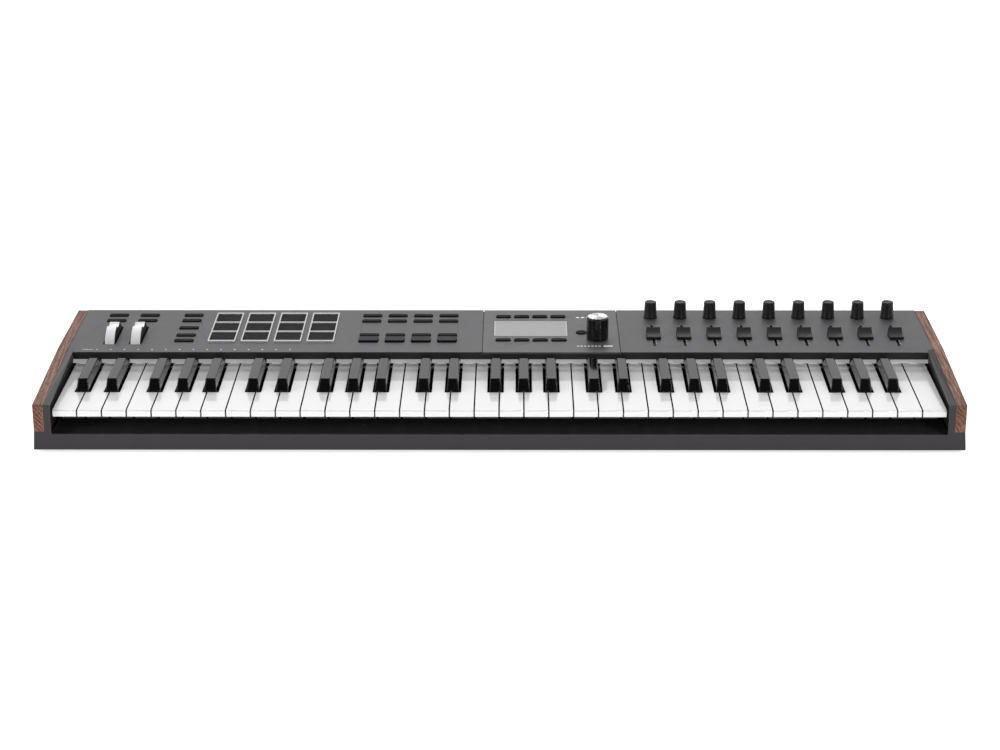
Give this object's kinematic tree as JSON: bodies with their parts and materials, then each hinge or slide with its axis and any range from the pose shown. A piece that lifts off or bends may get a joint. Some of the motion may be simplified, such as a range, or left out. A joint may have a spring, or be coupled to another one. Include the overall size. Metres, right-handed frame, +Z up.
{
  "type": "synthesizer keyboard",
  "caption": "Slim 61-key synthesizer keyboard with wooden cheeks, finger wheels, drum pads, buttons, a display with encoder, and a bank of knobs and faders.",
  "frame": {"origin": "on the table, under the middle of the case", "axes": "+X to the player's right, +Y to the rear, +Z up"},
  "size_m": [0.8828, 0.254, 0.0808],
  "materials": {
    "panel_metal": "satin powder coat",
    "bezel_metal": "fine satin",
    "case_plastic": "fine texture",
    "wood": "oiled, open grain",
    "white_keys": "gloss",
    "black_keys": "satin gloss",
    "button_rubber": "matt",
    "pad_rubber": "matt",
    "foot_rubber": "matt",
    "dome_rubber": "matt",
    "pad_frame_plastic": "satin, light",
    "knob_plastic": "matt",
    "fader_plastic": "satin",
    "frame_plastic": "moulded",
    "rail_plastic": "matt",
    "steel": "bright",
    "zinc": "zinc plated",
    "screw_steel": "black oxide",
    "wheel_silver": "satin silver",
    "board": "solder mask",
    "display_black": "module housing",
    "display_glass": "anti-glare",
    "encoder_plastic": "satin",
    "socket_plastic": "moulded"
  },
  "bodies": {
    "case": {"base_tray": "case_plastic", "case_screws": "screw_steel", "center_bezel": "bezel_metal", "contact_board": "board", "contact_domes": "dome_rubber", "display_module": "display_black", "display_window": "display_glass", "fader_bodies": "zinc", "key_hinge_rod": "steel", "key_rear_rail": "rail_plastic", "keybed_frame": "frame_plastic", "knob_encoders": "zinc", "midi_sockets": "socket_plastic", "pad_frames": "pad_frame_plastic", "panel_board": "board", "pedal_jacks": "socket_plastic", "rubber_feet": "foot_rubber", "top_panel": "panel_metal", "usb_socket": "steel", "wheel_bracket": "zinc", "wood_cheek_left": "wood", "wood_cheek_right": "wood"},
    "keys_c": {"keys_c": "white_keys"},
    "keys_c_sharp": {"keys_c_sharp": "black_keys"},
    "keys_d": {"keys_d": "white_keys"},
    "keys_d_sharp": {"keys_d_sharp": "black_keys"},
    "keys_e": {"keys_e": "white_keys"},
    "keys_f": {"keys_f": "white_keys"},
    "keys_f_sharp": {"keys_f_sharp": "black_keys"},
    "keys_g": {"keys_g": "white_keys"},
    "keys_g_sharp": {"keys_g_sharp": "black_keys"},
    "keys_a": {"keys_a": "white_keys"},
    "keys_a_sharp": {"keys_a_sharp": "black_keys"},
    "keys_b": {"keys_b": "white_keys"},
    "fader_1": {"fader_1": "fader_plastic"},
    "fader_2": {"fader_2": "fader_plastic"},
    "fader_3": {"fader_3": "fader_plastic"},
    "fader_4": {"fader_4": "fader_plastic"},
    "fader_5": {"fader_5": "fader_plastic"},
    "fader_6": {"fader_6": "fader_plastic"},
    "fader_7": {"fader_7": "fader_plastic"},
    "fader_8": {"fader_8": "fader_plastic"},
    "fader_9": {"fader_9": "fader_plastic"},
    "knob_1": {"knob_1": "knob_plastic"},
    "knob_2": {"knob_2": "knob_plastic"},
    "knob_3": {"knob_3": "knob_plastic"},
    "knob_4": {"knob_4": "knob_plastic"},
    "knob_5": {"knob_5": "knob_plastic"},
    "knob_6": {"knob_6": "knob_plastic"},
    "knob_7": {"knob_7": "knob_plastic"},
    "knob_8": {"knob_8": "knob_plastic"},
    "knob_9": {"knob_9": "knob_plastic"},
    "pitch_wheel": {"pitch_wheel": "wheel_silver"},
    "mod_wheel": {"mod_wheel": "wheel_silver"},
    "left_buttons": {"left_buttons": "button_rubber"},
    "function_buttons": {"function_buttons": "button_rubber"},
    "display_buttons": {"display_buttons": "button_rubber"},
    "drum_pads": {"drum_pads": "pad_rubber"},
    "encoder_shaft": {"encoder_shaft": "steel"},
    "encoder_knob": {"encoder_knob": "encoder_plastic"}
  },
  "joints": [
    {"name": "pitch_wheel_turn", "type": "hinge", "parent": "case", "child": "pitch_wheel", "pos_m": [-0.3911, 0.0476, 0.03735], "axis": [1, 0, 0], "range_deg": [-28, 28], "stiffness_Nm_per_rad": 0.15},
    {"name": "mod_wheel_turn", "type": "hinge", "parent": "case", "child": "mod_wheel", "pos_m": [-0.3653, 0.0476, 0.03735], "axis": [1, 0, 0], "range_deg": [-28, 28]},
    {"name": "keys_c_press", "type": "hinge", "parent": "case", "child": "keys_c", "pos_m": [0, 0.01, 0.036], "axis": [1, 0, 0], "range_deg": [0, 4.3], "stiffness_Nm_per_rad": 2.1, "springref_deg": -14.32},
    {"name": "keys_c_sharp_press", "type": "hinge", "parent": "case", "child": "keys_c_sharp", "pos_m": [0, 0.01, 0.036], "axis": [1, 0, 0], "range_deg": [0, 4.3], "stiffness_Nm_per_rad": 1.75, "springref_deg": -14.32},
    {"name": "keys_d_press", "type": "hinge", "parent": "case", "child": "keys_d", "pos_m": [0, 0.01, 0.036], "axis": [1, 0, 0], "range_deg": [0, 4.3], "stiffness_Nm_per_rad": 1.75, "springref_deg": -14.32},
    {"name": "keys_d_sharp_press", "type": "hinge", "parent": "case", "child": "keys_d_sharp", "pos_m": [0, 0.01, 0.036], "axis": [1, 0, 0], "range_deg": [0, 4.3], "stiffness_Nm_per_rad": 1.75, "springref_deg": -14.32},
    {"name": "keys_e_press", "type": "hinge", "parent": "case", "child": "keys_e", "pos_m": [0, 0.01, 0.036], "axis": [1, 0, 0], "range_deg": [0, 4.3], "stiffness_Nm_per_rad": 1.75, "springref_deg": -14.32},
    {"name": "keys_f_press", "type": "hinge", "parent": "case", "child": "keys_f", "pos_m": [0, 0.01, 0.036], "axis": [1, 0, 0], "range_deg": [0, 4.3], "stiffness_Nm_per_rad": 1.75, "springref_deg": -14.32},
    {"name": "keys_f_sharp_press", "type": "hinge", "parent": "case", "child": "keys_f_sharp", "pos_m": [0, 0.01, 0.036], "axis": [1, 0, 0], "range_deg": [0, 4.3], "stiffness_Nm_per_rad": 1.75, "springref_deg": -14.32},
    {"name": "keys_g_press", "type": "hinge", "parent": "case", "child": "keys_g", "pos_m": [0, 0.01, 0.036], "axis": [1, 0, 0], "range_deg": [0, 4.3], "stiffness_Nm_per_rad": 1.75, "springref_deg": -14.32},
    {"name": "keys_g_sharp_press", "type": "hinge", "parent": "case", "child": "keys_g_sharp", "pos_m": [0, 0.01, 0.036], "axis": [1, 0, 0], "range_deg": [0, 4.3], "stiffness_Nm_per_rad": 1.75, "springref_deg": -14.32},
    {"name": "keys_a_press", "type": "hinge", "parent": "case", "child": "keys_a", "pos_m": [0, 0.01, 0.036], "axis": [1, 0, 0], "range_deg": [0, 4.3], "stiffness_Nm_per_rad": 1.75, "springref_deg": -14.32},
    {"name": "keys_a_sharp_press", "type": "hinge", "parent": "case", "child": "keys_a_sharp", "pos_m": [0, 0.01, 0.036], "axis": [1, 0, 0], "range_deg": [0, 4.3], "stiffness_Nm_per_rad": 1.75, "springref_deg": -14.32},
    {"name": "keys_b_press", "type": "hinge", "parent": "case", "child": "keys_b", "pos_m": [0, 0.01, 0.036], "axis": [1, 0, 0], "range_deg": [0, 4.3], "stiffness_Nm_per_rad": 1.75, "springref_deg": -14.32},
    {"name": "fader_1_slide", "type": "slide", "parent": "case", "child": "fader_1", "axis": [0, 1, 0], "range_m": [-0.0205, 0.0275]},
    {"name": "fader_2_slide", "type": "slide", "parent": "case", "child": "fader_2", "axis": [0, 1, 0], "range_m": [-0.0205, 0.0275]},
    {"name": "fader_3_slide", "type": "slide", "parent": "case", "child": "fader_3", "axis": [0, 1, 0], "range_m": [-0.0205, 0.0275]},
    {"name": "fader_4_slide", "type": "slide", "parent": "case", "child": "fader_4", "axis": [0, 1, 0], "range_m": [-0.0205, 0.0275]},
    {"name": "fader_5_slide", "type": "slide", "parent": "case", "child": "fader_5", "axis": [0, 1, 0], "range_m": [-0.0205, 0.0275]},
    {"name": "fader_6_slide", "type": "slide", "parent": "case", "child": "fader_6", "axis": [0, 1, 0], "range_m": [-0.0205, 0.0275]},
    {"name": "fader_7_slide", "type": "slide", "parent": "case", "child": "fader_7", "axis": [0, 1, 0], "range_m": [-0.0205, 0.0275]},
    {"name": "fader_8_slide", "type": "slide", "parent": "case", "child": "fader_8", "axis": [0, 1, 0], "range_m": [-0.0205, 0.0275]},
    {"name": "fader_9_slide", "type": "slide", "parent": "case", "child": "fader_9", "axis": [0, 1, 0], "range_m": [-0.0205, 0.0275]},
    {"name": "drum_pads_press", "type": "slide", "parent": "case", "child": "drum_pads", "axis": [0, 0, -1], "range_m": [0, 0.001], "stiffness_N_per_m": 7200, "springref_m": -0.001},
    {"name": "function_buttons_press", "type": "slide", "parent": "case", "child": "function_buttons", "axis": [0, 0, -1], "range_m": [0, 0.0008], "stiffness_N_per_m": 9600, "springref_m": -0.001},
    {"name": "display_buttons_press", "type": "slide", "parent": "case", "child": "display_buttons", "axis": [0, 0, -1], "range_m": [0, 0.0008], "stiffness_N_per_m": 5400, "springref_m": -0.001},
    {"name": "left_buttons_press", "type": "slide", "parent": "case", "child": "left_buttons", "axis": [0, 0, -1], "range_m": [0, 0.0008], "stiffness_N_per_m": 5400, "springref_m": -0.001},
    {"name": "encoder_push", "type": "slide", "parent": "case", "child": "encoder_shaft", "axis": [0, 0, -1], "range_m": [0, 0.0005], "stiffness_N_per_m": 3000, "springref_m": -0.001},
    {"name": "encoder_turn", "type": "hinge", "parent": "encoder_shaft", "child": "encoder_knob", "pos_m": [0.0977, 0.0379, 0.0688], "axis": [0, 0, 1], "continuous": true},
    {"name": "knob_1_turn", "type": "hinge", "parent": "case", "child": "knob_1", "pos_m": [0.1544, 0.1035, 0.065], "axis": [0, 0, 1], "continuous": true},
    {"name": "knob_2_turn", "type": "hinge", "parent": "case", "child": "knob_2", "pos_m": [0.18486, 0.1035, 0.065], "axis": [0, 0, 1], "continuous": true},
    {"name": "knob_3_turn", "type": "hinge", "parent": "case", "child": "knob_3", "pos_m": [0.21532, 0.1035, 0.065], "axis": [0, 0, 1], "continuous": true},
    {"name": "knob_4_turn", "type": "hinge", "parent": "case", "child": "knob_4", "pos_m": [0.24578, 0.1035, 0.065], "axis": [0, 0, 1], "continuous": true},
    {"name": "knob_5_turn", "type": "hinge", "parent": "case", "child": "knob_5", "pos_m": [0.27624, 0.1035, 0.065], "axis": [0, 0, 1], "continuous": true},
    {"name": "knob_6_turn", "type": "hinge", "parent": "case", "child": "knob_6", "pos_m": [0.3067, 0.1035, 0.065], "axis": [0, 0, 1], "continuous": true},
    {"name": "knob_7_turn", "type": "hinge", "parent": "case", "child": "knob_7", "pos_m": [0.33716, 0.1035, 0.065], "axis": [0, 0, 1], "continuous": true},
    {"name": "knob_8_turn", "type": "hinge", "parent": "case", "child": "knob_8", "pos_m": [0.36762, 0.1035, 0.065], "axis": [0, 0, 1], "continuous": true},
    {"name": "knob_9_turn", "type": "hinge", "parent": "case", "child": "knob_9", "pos_m": [0.39808, 0.1035, 0.065], "axis": [0, 0, 1], "continuous": true}
  ]
}
